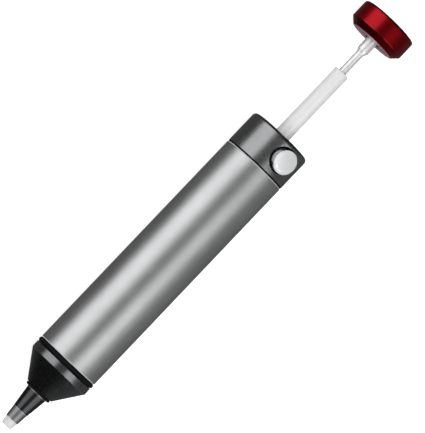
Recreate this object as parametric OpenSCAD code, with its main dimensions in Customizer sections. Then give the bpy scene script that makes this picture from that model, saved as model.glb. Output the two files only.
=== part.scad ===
// Desoldering pump with a spring-driven piston, a cross-drilled release button and a push knob.
// Millimetres. +X runs from the nozzle to the knob, +Z points up through the release button,
// and the pump lies on the surface z = 0. Its length is centred on x = 0.
// Inside the modules, stations are measured along the axis from the nozzle's end.

/* [Barrel] */
// Outside diameter of the barrel
barrel_d = 25; // [20:0.5:32]
// Length of the barrel tube
barrel_len = 94.3; // [92:0.1:130]
// Wall of the barrel tube
barrel_wall = 1.5; // [1:0.1:2]
// Chamfer on both outer edges of the barrel
barrel_edge = 0.3; // [0.1:0.05:0.6]

/* [Nozzle] */
// Bore through the nozzle tip
tip_bore_d = 2.5; // [2.1:0.1:2.8]
// Length of tip that stands out of the ferrule
tip_len = 2.9; // [2:0.1:6]
// Diameter of the tip at its end
tip_end_d = 4.4; // [4.2:0.1:4.6]
// Diameter of the tip where it meets the ferrule
tip_root_d = 4.95; // [4.7:0.05:5.1]
// Rounding of the tip's end
tip_round = 0.7; // [0.3:0.05:0.7]
// Diameter of the tip's shank inside the ferrule and the holder
tip_shank_d = 4; // [3.6:0.1:4.8]
// Length of the ferrule
ferrule_len = 4.55; // [3:0.05:8]
// Diameter of the ferrule at its front
ferrule_front_d = 5.25; // [5.1:0.05:5.6]
// Diameter of the ferrule at its back
ferrule_back_d = 6.05; // [5.7:0.05:6.2]
// Length of the tapered nozzle holder, up to its collar
holder_len = 7.95; // [6:0.05:12]
// Diameter of the holder at its front
holder_front_d = 6.25; // [6.2:0.05:7]
// Diameter of the holder at its back
holder_back_d = 8.3; // [7.6:0.1:8.4]
// Diameter of the holder's bright collar
holder_collar_d = 8.4; // [8.2:0.1:8.8]
// Length of the holder's bright collar
holder_collar_len = 1.4; // [1.2:0.1:2]
// Diameter of the holder's shank in the nose cone
holder_shank_d = 7.2; // [6:0.1:7.6]
// Length of the holder's shank in the nose cone
holder_shank_len = 7.2; // [5:0.1:9]

/* [Nose cone] */
// Length of the cone, from its front face to its band
cone_len = 9.5; // [8:0.1:16]
// Diameter of the cone at its front face
cone_front_d = 11.3; // [11:0.1:13]
// Length of the straight band behind the cone
band_len = 3.1; // [2:0.1:6]
// Chamfer on both edges of the band
band_edge = 0.25; // [0.1:0.05:0.4]
// Length of the spigot inside the barrel
nose_spigot_len = 10; // [8:0.5:12]
// Length of the straight mouth at the end of the solder funnel
funnel_mouth_len = 5.3; // [3:0.1:7]
// Diameter of the funnel's throat
throat_d = 5; // [4.4:0.1:6]

/* [Seals] */
// Cord of the O-ring between nose cone and barrel
nose_cord = 1.86; // [1.5:0.02:2.4]
// How far that O-ring stands proud of the barrel
nose_ring_proud = 0.2; // [0.1:0.05:0.25]
// Cord of the O-ring at the nozzle holder
nozzle_cord = 1.1; // [0.8:0.05:1.2]
// Cord of the two piston O-rings
piston_cord = 1.8; // [1.4:0.1:2.2]
// Thickness of the gasket between barrel and end cap
gasket_t = 0.45; // [0.3:0.05:0.8]
// How far the gasket's edge lies below the barrel's surface
gasket_inset = 0.2; // [0.1:0.05:0.4]

/* [End cap] */
// Length of the end cap that shows
cap_len = 13.45; // [12.6:0.05:20]
// Rounding of the end cap's rear edge
cap_round = 1.45; // [0.5:0.05:1.6]
// Chamfer of the end cap's front edge
cap_edge = 0.15; // [0.1:0.05:0.3]
// Length of the spigot inside the barrel
cap_spigot_len = 10; // [8:0.5:12]

/* [Release button] */
// Diameter of the button
button_d = 9; // [7.5:0.1:10.6]
// How far the button stands above the end cap's surface
button_proud = 2.7; // [2:0.1:4]
// Width of the chamfer round the button's face
button_edge = 1.2; // [0.3:0.05:1.5]
// Height of that chamfer
button_edge_h = 0.7; // [0.3:0.05:1]
// Wall between the button and the end cap's rear face
button_rear_wall = 2.1; // [1.6:0.1:2.6]
// Travel of the button
button_travel = 1.2; // [0.6:0.1:1.4]
// Gap all round between the button and its recess in the end cap
button_recess_gap = 0.6; // [0.3:0.05:0.8]
// Depth of that recess below the top of the end cap
button_recess_depth = 2.1; // [1.8:0.1:3]
// Wall under the button's bore
button_floor_wall = 2.3; // [2:0.1:3]
// Room under the button at rest
button_floor_gap = 3; // [2:0.1:3]
// Web between the button's cross hole and its spring pocket
button_web = 1.35; // [1:0.05:1.6]

/* [Plunger] */
// Diameter of the white rod
rod_d = 6; // [5:0.1:7.2]
// Length of rod outside the end cap when released
rod_out_len = 30.9; // [25:0.1:34]
// Diameter of the steel core and of the neck that latches
core_d = 3; // [2.8:0.1:3.2]
// Neck's length beyond the button's diameter
neck_play = 0.3; // [0.3:0.1:1]
// Length of the taper from neck to collar
taper_len = 1.3; // [1:0.1:3]
// Diameter of the collar under the knob
collar_d = 4.5; // [4.3:0.1:5]
// Length of collar between taper and knob
collar_len = 4.6; // [3:0.1:8]
// Plunger travel beyond the point where the button latches
overtravel = 1; // [0.8:0.1:2]
// Diameter of the cleaning pin
pin_d = 1.8; // [1.4:0.1:1.8]
// Distance from the cleaning pin's tip to the nozzle's end at full stroke
pin_short = 0.4; // [0.2:0.1:2]

/* [Piston] */
// Length of the piston's sealing body
piston_len = 12; // [11:0.5:14]
// Length of the boss that the main spring sits round
boss_len = 5; // [4:0.5:8]
// Depth of the pocket for the nut
nut_pocket_depth = 6; // [5.5:0.1:7]
// Depth of the socket for the rod
rod_socket_depth = 4; // [3:0.1:4.5]
// Thickness of the rubber bumper
bumper_t = 3; // [2:0.1:4]
// Gap between the rubber bumper and the barrel's wall
bumper_gap = 1.5; // [0.5:0.1:3]

/* [Main spring] */
// Wire of the main spring
spring_wire = 1.1; // [0.8:0.1:1.2]
// Number of turns
spring_turns = 12; // [9:1:13]
// Gap between the main spring and the barrel's wall
spring_wall_gap = 1.05; // [0.6:0.05:1.2]

/* [Button spring] */
// Wire of the button spring
button_wire = 0.45; // [0.3:0.05:0.5]
// Number of turns
button_turns = 5; // [4:1:6]
// Outside diameter of the button spring
button_spring_d = 4.2; // [3:0.1:4.4]

/* [Knob] */
// Diameter of the knob
knob_d = 22.4; // [18:0.1:26]
// Length of the knob
knob_len = 9.4; // [8.5:0.1:12]
// 45 degree chamfer on the knob's underside
knob_under_edge = 2.3; // [1:0.1:2.6]
// Rounding of the knob's top edge
knob_round = 1; // [0.4:0.1:1.5]
// Diameter of the recess round the collar
knob_recess_d = 6.2; // [5.6:0.1:8]
// Depth of the recess round the collar
knob_recess_depth = 1.5; // [1:0.1:2]
// Depth of the collar's socket in the knob
knob_socket_depth = 3.4; // [3:0.1:4]

/* [Fasteners] */
// Diameter of the knob screw's thread
screw_d = 3; // [2.5:0.1:3]
// Diameter of the knob screw's countersunk head
screw_head_d = 5.6; // [5:0.1:6]
// Height of the countersunk head
screw_head_h = 1.5; // [1.2:0.1:1.8]
// Length of the screw's thread below its head
screw_thread_len = 8.5; // [7.5:0.1:9]
// Width across flats of the nut
nut_flats = 5.5; // [5:0.1:6]
// Thickness of the nut
nut_t = 2.4; // [2:0.1:2.6]
// Thickness of each washer
washer_t = 0.5; // [0.3:0.1:0.6]

/* [Fits] */
// Radial clearance of what turns or slides closely
running_fit = 0.05; // [0.03:0.01:0.08]
// Radial clearance of what is screwed or pushed together
assembly_fit = 0.05; // [0.02:0.01:0.08]
// Radial clearance of the spigots in the barrel
spigot_fit = 0.1; // [0.05:0.01:0.15]
// Radial clearance of the piston in the barrel
piston_fit = 0.15; // [0.1:0.01:0.25]
// Radial clearance of the rod in the end cap's rear hole
cap_hole_fit = 0.2; // [0.1:0.01:0.3]
// Gap between faces that meet when the plunger is released
stop_gap = 0.1; // [0.05:0.01:0.2]

/* [Hidden] */
$fn = 96;

// Smallest gap, left between an O-ring or a sleeve and what it sits on
ring_gap = 0.02;

// Lead-in chamfer on the end of a shank, a spigot or the piston's boss
lead = 0.4;

// Stations along the axis, from the nozzle's end
x_ferrule = tip_len;
x_holder = x_ferrule + ferrule_len;
x_collar = x_holder + holder_len;
x_cone = x_collar + holder_collar_len;
x_shank_end = x_cone + holder_shank_len;
x_band = x_cone + cone_len;
x_groove = x_band + band_len;
nose_groove_w = nose_cord + 2 * ring_gap;
x_barrel = x_groove + nose_groove_w;
x_nose_end = x_barrel + nose_spigot_len;
x_gasket = x_barrel + barrel_len;
x_cap = x_gasket + gasket_t;
x_cap_front = x_gasket - cap_spigot_len;
x_cap_rear = x_cap + cap_len;
x_button = x_cap_rear - button_rear_wall - button_d / 2;
x_shoulder = x_cap_rear + rod_out_len;
x_taper = x_shoulder + button_d + neck_play;
x_knob_collar = x_taper + taper_len;
x_knob = x_knob_collar + collar_len;
x_end = x_knob + knob_len;

// Radii that follow from the driving sizes
barrel_r = barrel_d / 2;
bore_r = barrel_r - barrel_wall;
spigot_r = bore_r - spigot_fit;
axis_z = barrel_r + nose_ring_proud;
rod_r = rod_d / 2;
core_r = core_d / 2;
tip_bore_r = tip_bore_d / 2;
shank_bore_r = tip_shank_d / 2 + assembly_fit;

// Main spring, and the seats at its two ends
spring_r = bore_r - spring_wall_gap - spring_wire / 2;
spring_inner_r = spring_r - spring_wire / 2;
seat_ledge = 0.25;
boss_gap = 0.65;
funnel_r = spring_inner_r - seat_ledge;
boss_r = spring_inner_r - boss_gap;

// Piston and what holds it to the rod
x_bumper = x_cap_front - bumper_t;
x_piston_rear = x_bumper - stop_gap;
x_piston_shoulder = x_piston_rear - piston_len;
x_piston_front = x_piston_shoulder - boss_len;
x_web_front = x_piston_front + nut_pocket_depth;
x_web_rear = x_piston_rear - rod_socket_depth;
x_nut = x_web_front - running_fit - washer_t - nut_t;
x_rod = x_web_rear + running_fit + washer_t;
thread_out = 1;
x_core_front = x_nut - thread_out;
seal_inset = 2.3;
x_seal_front = x_piston_shoulder + seal_inset + piston_cord / 2;
x_seal_rear = x_piston_rear - seal_inset - piston_cord / 2;
piston_r = bore_r - piston_fit;
seal_r = bore_r - running_fit - piston_cord / 2;
seal_groove_r = seal_r - piston_cord / 2 - ring_gap;
seal_groove_w = piston_cord + 2 * ring_gap;
nut_pocket_gap = 0.8;
nut_pocket_r = nut_flats / 2 / cos(30) + nut_pocket_gap;
washer_r = rod_r - running_fit;

// Travel, from the shoulder's released place to the far side of the button
stroke = rod_out_len + button_rear_wall + button_d + overtravel;
pin_grip = 4;
x_pin_tip = stroke + pin_short;

// End cap and button, heights measured from the pump's axis
cap_hole_r = rod_r + cap_hole_fit;
bush_wall = 1.45;
bush_r = rod_r + running_fit + bush_wall;
bush_to_button = 1.3;
x_bush_end = x_button - button_d / 2 - running_fit - bush_to_button;
button_r = button_d / 2;
button_top = barrel_r + button_proud;
button_floor = button_floor_wall - barrel_r;
button_bottom = button_floor + button_floor_gap;
cross_hole_r = rod_r + running_fit;
pocket_top = -cross_hole_r - button_web;
pocket_gap = 0.15;
pocket_r = button_spring_d / 2 + pocket_gap;

// Knob and its screw
knob_r = knob_d / 2;
collar_r = collar_d / 2;
x_socket_end = x_knob + knob_socket_depth;
x_core_end = x_socket_end - assembly_fit;
screw_r = screw_d / 2;
screw_head_r = screw_head_d / 2;
screw_sink = 0.1;
x_head_top = x_end - screw_sink;
x_head_under = x_head_top - screw_head_h;
x_screw_tip = x_head_under - screw_thread_len;
tap_room = 0.5;
slot_w = 0.8;
slot_depth = 0.7;

// Points along a rounded corner, in [radius, station] form
corner_steps = 8;
function corner(r, x, size, from_a, to_a) =
    [for (i = [0:corner_steps])
        let (a = from_a + (to_a - from_a) * i / corner_steps)
        [r + size * cos(a), x + size * sin(a)]];

// Puts a shape that is drawn on its own axis where the pump lies
module placed() {
    translate([-x_end / 2, 0, axis_z]) children();
}

// A solid turned round the pump's axis from an outline of [radius, station] points
module turned(outline) {
    rotate([0, 90, 0]) rotate_extrude() polygon(outline);
}

// A plain ring with straight walls
module ring(inner_r, outer_r, from_x, to_x) {
    turned([[inner_r, from_x], [outer_r, from_x], [outer_r, to_x], [inner_r, to_x]]);
}

// An O-ring, with the radius and station of its cord's centre
module o_ring(centre_r, x, cord) {
    rotate([0, 90, 0]) rotate_extrude() translate([centre_r, x]) circle(d = cord, $fn = 32);
}

// A coil spring along Z from z = 0, with one closed turn at each end
coil_steps = 24;
coil_sides = 8;
closed_gap = 0.04;
module coil(mean_r, wire, turns, length) {
    closed_pitch = wire + closed_gap;
    open_pitch = (length - wire - 2 * closed_pitch) / (turns - 2);
    function height(t) =
        t < 1 ? t * closed_pitch
        : t < turns - 1 ? closed_pitch + (t - 1) * open_pitch
        : closed_pitch + (turns - 2) * open_pitch + (t - turns + 1) * closed_pitch;
    rings = turns * coil_steps;
    points = [
        for (i = [0:rings])
            let (t = i / coil_steps, z = wire / 2 + height(t))
            for (j = [0:coil_sides - 1])
                let (a = 360 * j / coil_sides, r = mean_r + wire / 2 * cos(a))
                [r * cos(360 * t), r * sin(360 * t), z + wire / 2 * sin(a)]];
    sides = [
        for (i = [0:rings - 1])
            for (j = [0:coil_sides - 1])
                let (k = (j + 1) % coil_sides, here = i * coil_sides, next = here + coil_sides)
                [here + j, here + k, next + k, next + j]];
    ends = [[for (j = [coil_sides - 1:-1:0]) j],
            [for (j = [0:coil_sides - 1]) rings * coil_sides + j]];
    polyhedron(points = points, faces = concat(sides, ends), convexity = 10);
}

// White tip that touches the solder, with a shank down to the end of the holder
module nozzle_tip() {
    end_r = tip_end_d / 2;
    shank_r = tip_shank_d / 2;
    color("whitesmoke") placed() turned(concat(
        [[tip_bore_r, 0]],
        corner(end_r - tip_round, tip_round, tip_round, -90, 0),
        [[tip_root_d / 2, x_ferrule], [shank_r, x_ferrule], [shank_r, x_shank_end],
         [tip_bore_r, x_shank_end]]));
}

// Grey metal ferrule round the tip's shank
module tip_ferrule() {
    color("gray") placed() turned([
        [shank_bore_r, x_ferrule], [ferrule_front_d / 2, x_ferrule],
        [ferrule_back_d / 2, x_holder], [shank_bore_r, x_holder]]);
}

// Dark tapered holder, with a bright collar and a shank that screws into the nose cone
module nozzle_holder() {
    shank_r = holder_shank_d / 2;
    color("dimgray") placed() turned([
        [shank_bore_r, x_holder], [holder_front_d / 2, x_holder], [holder_back_d / 2, x_collar],
        [holder_collar_d / 2, x_collar], [holder_collar_d / 2, x_cone], [shank_r, x_cone],
        [shank_r, x_shank_end - lead], [shank_r - lead, x_shank_end],
        [shank_bore_r, x_shank_end]]);
}

// Rubber ring between the holder's collar and the nose cone
module nozzle_o_ring() {
    color("black") placed()
        o_ring(holder_collar_d / 2 + assembly_fit + nozzle_cord / 2,
               x_cone - nozzle_cord / 2 - ring_gap, nozzle_cord);
}

// Black nose cone with its band, O-ring groove, spigot and solder funnel
module nose_cone() {
    front_r = cone_front_d / 2;
    hole_r = holder_shank_d / 2 + assembly_fit;
    groove_r = barrel_r + nose_ring_proud - nose_cord - ring_gap;
    color("#1c1d1f") placed() turned([
        [hole_r, x_cone], [front_r, x_cone], [barrel_r - band_edge, x_band],
        [barrel_r, x_band + band_edge], [barrel_r, x_groove - band_edge],
        [barrel_r - band_edge, x_groove], [groove_r, x_groove], [groove_r, x_barrel],
        [spigot_r, x_barrel], [spigot_r, x_nose_end - lead], [spigot_r - lead, x_nose_end],
        [funnel_r, x_nose_end], [funnel_r, x_nose_end - funnel_mouth_len],
        [throat_d / 2, x_shank_end], [hole_r, x_shank_end]]);
}

// Rubber ring between the nose cone's band and the barrel
module nose_o_ring() {
    color("black") placed()
        o_ring(barrel_r + nose_ring_proud - nose_cord / 2, x_groove + nose_groove_w / 2, nose_cord);
}

// Aluminium barrel tube
module barrel() {
    color("silver") placed() turned([
        [bore_r, x_barrel], [barrel_r - barrel_edge, x_barrel], [barrel_r, x_barrel + barrel_edge],
        [barrel_r, x_gasket - barrel_edge], [barrel_r - barrel_edge, x_gasket],
        [bore_r, x_gasket]]);
}

// Thin black gasket between the barrel and the end cap
module cap_gasket() {
    color("black") placed() ring(bore_r, barrel_r - gasket_inset, x_gasket, x_cap);
}

// Gunmetal end cap with its spigot, rod hole and button bore
module end_cap() {
    bush_hole_r = bush_r + assembly_fit;
    color("slategray") placed() difference() {
        turned(concat(
            [[bush_hole_r, x_cap_front], [spigot_r, x_cap_front], [spigot_r, x_cap],
             [barrel_r - cap_edge, x_cap], [barrel_r, x_cap + cap_edge]],
            corner(barrel_r - cap_round, x_cap_rear - cap_round, cap_round, 0, 90),
            [[cap_hole_r, x_cap_rear], [cap_hole_r, x_bush_end], [bush_hole_r, x_bush_end]]));
        translate([x_button, 0, button_floor])
            cylinder(r = button_r + running_fit, h = barrel_d);
        translate([x_button, 0, barrel_r - button_recess_depth])
            cylinder(r = button_r + button_recess_gap, h = barrel_d);
    }
}

// Brass bush that guides the rod in the end cap
module rod_bush() {
    color("goldenrod") placed() ring(rod_r + running_fit, bush_r, x_cap_front, x_bush_end);
}

// Rubber washer that stops the piston at the end cap
module rear_bumper() {
    color("black") placed() ring(cap_hole_r, bore_r - bumper_gap, x_bumper, x_cap_front);
}

// Release button, a bright pin across the end cap with a slotted hole for the rod
module release_button() {
    across = button_d * 2;
    color("gainsboro") placed() translate([x_button, 0, 0]) difference() {
        rotate_extrude() polygon([
            [pocket_r, button_bottom], [button_r, button_bottom],
            [button_r, button_top - button_edge_h], [button_r - button_edge, button_top],
            [0, button_top], [0, pocket_top], [pocket_r, pocket_top]]);
        for (z = [0, button_travel])
            translate([0, 0, z]) rotate([0, 90, 0])
                cylinder(r = cross_hole_r, h = across, center = true);
        translate([-across / 2, -cross_hole_r, 0])
            cube([across, 2 * cross_hole_r, button_travel]);
    }
}

// Small spring that lifts the button
module button_spring() {
    seat_gap = 0.02;
    length = pocket_top - button_floor - 2 * seat_gap;
    color("silver") placed() translate([x_button, 0, button_floor + seat_gap])
        coil((button_spring_d - button_wire) / 2, button_wire, button_turns, length);
}

// Main spring between the nose cone and the piston
module main_spring() {
    seat_gap = 0.05;
    length = x_piston_shoulder - x_nose_end - 2 * seat_gap;
    color("lightsteelblue") placed() translate([x_nose_end + seat_gap, 0, 0]) rotate([0, 90, 0])
        coil(spring_r, spring_wire, spring_turns, length);
}

// Piston with two seal grooves, a spring boss, a nut pocket and a rod socket
module piston() {
    socket_r = rod_r + running_fit;
    color("#2b2b2e") placed() difference() {
        turned([
            [core_r + running_fit, x_web_front], [nut_pocket_r, x_web_front],
            [nut_pocket_r, x_piston_front], [boss_r - lead, x_piston_front],
            [boss_r, x_piston_front + lead], [boss_r, x_piston_shoulder],
            [piston_r, x_piston_shoulder], [piston_r, x_piston_rear],
            [socket_r, x_piston_rear], [socket_r, x_web_rear], [core_r + running_fit, x_web_rear]]);
        for (x = [x_seal_front, x_seal_rear])
            ring(seal_groove_r, barrel_r, x - seal_groove_w / 2, x + seal_groove_w / 2);
    }
}

// The piston's two O-rings
module piston_seal_front() {
    color("black") placed() o_ring(seal_r, x_seal_front, piston_cord);
}
module piston_seal_rear() {
    color("black") placed() o_ring(seal_r, x_seal_rear, piston_cord);
}

// White rod, a sleeve on the steel core whose end is the shoulder that latches
module plunger_rod() {
    edge = 0.25;
    color("white") placed() turned([
        [core_r + ring_gap, x_rod], [rod_r - edge, x_rod], [rod_r, x_rod + edge],
        [rod_r, x_shoulder - edge], [rod_r - edge, x_shoulder], [core_r + ring_gap, x_shoulder]]);
}

// Steel core: thread, neck, taper and collar in one piece
module plunger_core() {
    edge = 0.3;
    color("lightgray") placed() turned([
        [pin_d / 2 + ring_gap, x_core_front], [core_r - edge, x_core_front],
        [core_r, x_core_front + edge], [core_r, x_taper], [collar_r, x_knob_collar],
        [collar_r, x_core_end], [screw_r + assembly_fit, x_core_end],
        [screw_r + assembly_fit, x_screw_tip - tap_room], [0, x_screw_tip - tap_room],
        [0, x_core_front + pin_grip], [pin_d / 2 + ring_gap, x_core_front + pin_grip]]);
}

// A washer on each side of the piston's web
module piston_washers() {
    color("silver") placed() for (x = [x_nut + nut_t, x_rod - washer_t])
        ring(core_r + assembly_fit, washer_r, x, x + washer_t);
}

// Lock nut on the core's thread
module rod_nut() {
    color("silver") placed() translate([x_nut, 0, 0]) rotate([0, 90, 0]) difference() {
        cylinder(r = nut_flats / 2 / cos(30), h = nut_t, $fn = 6);
        translate([0, 0, -nut_t]) cylinder(r = core_r + assembly_fit, h = 3 * nut_t);
    }
}

// Steel pin that clears the nozzle's bore when the plunger is pushed in
module cleaning_pin() {
    edge = 0.3;
    pin_r = pin_d / 2;
    color("silver") placed() turned([
        [0, x_pin_tip], [pin_r - edge, x_pin_tip], [pin_r, x_pin_tip + edge],
        [pin_r, x_core_front + pin_grip - assembly_fit], [0, x_core_front + pin_grip - assembly_fit]]);
}

// Red push knob
module knob() {
    hole_r = screw_r + 2 * assembly_fit;
    sink_r = screw_head_r + screw_sink;
    color("firebrick") placed() turned(concat(
        [[knob_recess_d / 2, x_knob], [knob_r - knob_under_edge, x_knob],
         [knob_r, x_knob + knob_under_edge]],
        corner(knob_r - knob_round, x_end - knob_round, knob_round, 0, 90),
        [[sink_r, x_end], [sink_r, x_head_top], [hole_r, x_head_under - screw_sink],
         [hole_r, x_socket_end], [collar_r + assembly_fit, x_socket_end],
         [collar_r + assembly_fit, x_knob + knob_recess_depth],
         [knob_recess_d / 2, x_knob + knob_recess_depth]]));
}

// Countersunk screw that holds the knob on the core
module knob_screw() {
    color("silver") placed() difference() {
        turned([
            [0, x_screw_tip], [screw_r, x_screw_tip], [screw_r, x_head_under],
            [screw_head_r, x_head_top], [0, x_head_top]]);
        translate([x_head_top - slot_depth, -screw_d, -slot_w / 2])
            cube([screw_d, 2 * screw_d, slot_w]);
    }
}

nozzle_tip();
tip_ferrule();
nozzle_holder();
nozzle_o_ring();
nose_cone();
nose_o_ring();
barrel();
cap_gasket();
end_cap();
rod_bush();
rear_bumper();
release_button();
button_spring();
main_spring();
piston();
piston_seal_front();
piston_seal_rear();
plunger_rod();
plunger_core();
piston_washers();
rod_nut();
cleaning_pin();
knob();
knob_screw();
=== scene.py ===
"""Desoldering pump: fine meshes and procedural finishes round the packed frame.

Metres, in the frame's own axes: +X from the nozzle to the knob, +Z up through the release
button, the pump lying on z = 0. Run as a script; the sidebar panel lists the same operators.
"""

import math
import bpy
from mathutils import Matrix, Vector


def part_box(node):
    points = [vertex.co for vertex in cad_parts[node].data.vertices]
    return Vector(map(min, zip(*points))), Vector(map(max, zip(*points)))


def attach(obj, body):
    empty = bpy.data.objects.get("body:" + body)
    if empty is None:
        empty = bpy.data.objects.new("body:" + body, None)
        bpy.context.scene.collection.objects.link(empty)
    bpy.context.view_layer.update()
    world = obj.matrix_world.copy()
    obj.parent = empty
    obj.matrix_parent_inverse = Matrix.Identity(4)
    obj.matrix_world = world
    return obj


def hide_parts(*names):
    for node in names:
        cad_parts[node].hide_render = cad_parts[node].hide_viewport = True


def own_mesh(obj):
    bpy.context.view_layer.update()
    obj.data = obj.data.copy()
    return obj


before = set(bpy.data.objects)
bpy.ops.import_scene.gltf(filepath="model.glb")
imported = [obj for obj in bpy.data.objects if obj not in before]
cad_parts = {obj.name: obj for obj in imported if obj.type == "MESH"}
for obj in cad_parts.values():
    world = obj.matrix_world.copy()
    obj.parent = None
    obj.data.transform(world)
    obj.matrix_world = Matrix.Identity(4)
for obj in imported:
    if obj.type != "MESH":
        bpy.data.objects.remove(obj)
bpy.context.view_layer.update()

bl_info = {
    "name": "Desoldering pump",
    "version": (1, 0, 0),
    "blender": (4, 5, 0),
    "location": "View3D > Sidebar > Pump",
    "description": "Builds the visible pieces, finishes and stage of a desoldering pump",
    "category": "Add Mesh",
}

MM = 0.001

# The pump's axis, and the button's across it
AXIS_Z = sum(corner.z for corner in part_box("barrel")) / 2
AXIS = Vector((0, 0, AXIS_Z))
ALONG_X = (0, math.pi / 2, 0)
BUTTON_X = sum(corner.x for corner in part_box("release_button")) / 2
BUTTON_AXIS = Vector((BUTTON_X, 0, 0))

# Sides of a round shape
FINE_SIDES = 192  # barrel, end cap and knob
SIDES = 144  # most pieces
SMALL_SIDES = 96  # rod, core, washers, button and screw
HOLE_SIDES = 64  # tools that cut a hole along the axis
PIN_SIDES = 48  # cleaning pin
CORD_SIDES = 24  # section of an O-ring
WIRE_SIDES = 12  # section of a spring's wire

FIT = 0.05 * MM  # clearance between pieces that slide or plug into each other
SEAT = 0.02 * MM  # clearance of a ring, a spring or a pin in its seat
HUB = 0.1 * MM  # radius from which an end face closes over the axis
DOUBLES = 1e-6  # points nearer than this are one point
TOUCH = 0.01 * MM  # margin when faces are picked by their place
STEEP = 0.35  # lean along X of a face that counts as a chamfer


# ---------------------------------------------------------------- sizes read off the frame

def first(node):
    """Station where a node begins along the pump's axis."""
    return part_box(node)[0].x


def last(node):
    """Station where a node ends along the pump's axis."""
    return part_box(node)[1].x


def radius(node):
    """Largest radius of a node round the pump's axis."""
    low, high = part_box(node)
    return (high.y - low.y) / 2


def length(name, default, description):
    """A length setting, in metres."""
    return bpy.props.FloatProperty(name=name, description=description, default=default,
                                   min=0, precision=5, unit="LENGTH", subtype="DISTANCE")


def station(name, default, description):
    """A distance setting on either side of a zero, in metres."""
    return bpy.props.FloatProperty(name=name, description=description, default=default,
                                   unit="LENGTH", subtype="DISTANCE")


def turn(name, degrees, description):
    """An angle setting, given in degrees."""
    return bpy.props.FloatProperty(name=name, description=description,
                                   default=math.radians(degrees), unit="ROTATION",
                                   subtype="ANGLE")


def share(name, default, description):
    """A setting between nothing and all."""
    return bpy.props.FloatProperty(name=name, description=description, default=default,
                                   min=0, max=1, subtype="FACTOR")


def tint(name, default, description):
    """A colour setting, as linear red, green and blue."""
    return bpy.props.FloatVectorProperty(name=name, description=description, default=default,
                                         size=3, min=0, max=1, subtype="COLOR")


class PumpNozzleSizes(bpy.types.PropertyGroup):
    """Sizes of the nozzle tip, its ferrule and its holder"""
    tip_bore: length("Tip bore", 1.25 * MM, "Radius of the bore through the tip")
    tip_end: length("Tip end", 2.2 * MM, "Radius of the tip at its end")
    tip_root: length("Tip root", 2.475 * MM, "Radius of the tip where it meets the ferrule")
    tip_round: length("Tip rounding", 0.7 * MM, "Rounding of the tip's end")
    shank: length("Shank", 2.0 * MM, "Radius of the tip's shank inside the holder")
    ferrule_front: length("Ferrule front", 2.625 * MM, "Radius of the ferrule at its front")
    ferrule_back: length("Ferrule back", radius("tip_ferrule"),
                         "Radius of the ferrule at its back")
    holder_front: length("Holder front", 3.125 * MM, "Radius of the holder at its front")
    holder_back: length("Holder back", 4.15 * MM, "Radius of the holder before its collar")
    collar: length("Collar", radius("nozzle_holder"), "Radius of the holder's bright collar")
    collar_length: length("Collar length", 1.4 * MM, "Length of the bright collar")
    holder_shank: length("Holder shank", 3.6 * MM, "Radius of the holder's shank in the nose cone")
    lead: length("Lead-in", 0.4 * MM, "Chamfer on the end of the holder's shank")


class PumpBodySizes(bpy.types.PropertyGroup):
    """Sizes of the nose cone, the barrel and the end cap"""
    cone_front: length("Cone front", 5.65 * MM, "Radius of the cone's front face")
    cone_length: length("Cone length", 9.5 * MM, "Length of the cone up to its band")
    band_length: length("Band length", 3.1 * MM, "Length of the straight band")
    band_edge: length("Band edge", 0.25 * MM, "Chamfer on both edges of the band")
    barrel: length("Barrel", radius("barrel"), "Outside radius of the barrel")
    bore: length("Bore", 11.0 * MM, "Inside radius of the barrel")
    barrel_edge: length("Barrel edge", 0.3 * MM, "Chamfer on both ends of the barrel")
    spigot: length("Spigot", 10.9 * MM, "Radius of the spigots inside the barrel")
    lead: length("Lead-in", 0.4 * MM, "Chamfer on the end of a spigot or a boss")
    funnel: length("Funnel", 8.6 * MM, "Radius of the solder funnel's mouth")
    funnel_mouth: length("Funnel mouth", 5.3 * MM, "Length of the funnel's straight mouth")
    throat: length("Throat", 2.5 * MM, "Radius of the funnel's throat")
    piston_length: length("Piston length", 12 * MM, "Length of the piston's sealing body")
    piston_boss: length("Piston boss", 8.2 * MM, "Radius of the boss in the main spring")
    nut_pocket: length("Nut pocket", 6 * MM, "Depth of the pocket for the nut")
    rod_socket: length("Rod socket", 4 * MM, "Depth of the socket for the rod")
    cap_edge: length("Cap front edge", 0.15 * MM, "Chamfer on the end cap's front edge")
    cap_round: length("Cap rounding", 1.45 * MM, "Rounding of the end cap's rear edge")
    cap_length: length("Cap length", 13.45 * MM, "Length of end cap that shows")
    rod_hole: length("Rod hole", 3.2 * MM, "Radius of the hole in the end cap's rear face")
    recess: length("Button recess", 5.1 * MM, "Radius of the recess round the button")
    recess_floor: length("Recess floor", 10.4 * MM, "Height of the recess's floor above the axis")


class PumpPlungerSizes(bpy.types.PropertyGroup):
    """Sizes of the rod, the neck, the knob and the button"""
    rod: length("Rod", radius("plunger_rod"), "Radius of the white rod")
    rod_edge: length("Rod edge", 0.25 * MM, "Chamfer on the rod's ends")
    neck: length("Neck", 1.5 * MM, "Radius of the neck that latches")
    collar: length("Collar", radius("plunger_core"), "Radius of the collar under the knob")
    taper: length("Taper", 1.3 * MM, "Length of the taper between neck and collar")
    collar_length: length("Collar length", 4.6 * MM, "Length of collar outside the knob")
    knob: length("Knob", radius("knob"), "Radius of the knob")
    knob_chamfer: length("Knob chamfer", 2.3 * MM, "Chamfer round the knob's underside")
    knob_round: length("Knob rounding", 1.0 * MM, "Rounding of the knob's outer edge")
    knob_recess: length("Knob recess", 3.1 * MM, "Radius of the recess round the collar")
    knob_depth: length("Recess depth", 1.5 * MM, "Depth of that recess")
    button: length("Button", radius("release_button"), "Radius of the release button")
    button_travel: length("Button travel", 1.2 * MM, "How far the button goes in")
    button_edge: length("Button edge", 1.2 * MM, "Width of the chamfer round the button's face")
    button_edge_height: length("Button edge height", 0.7 * MM, "Height of that chamfer")


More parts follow.
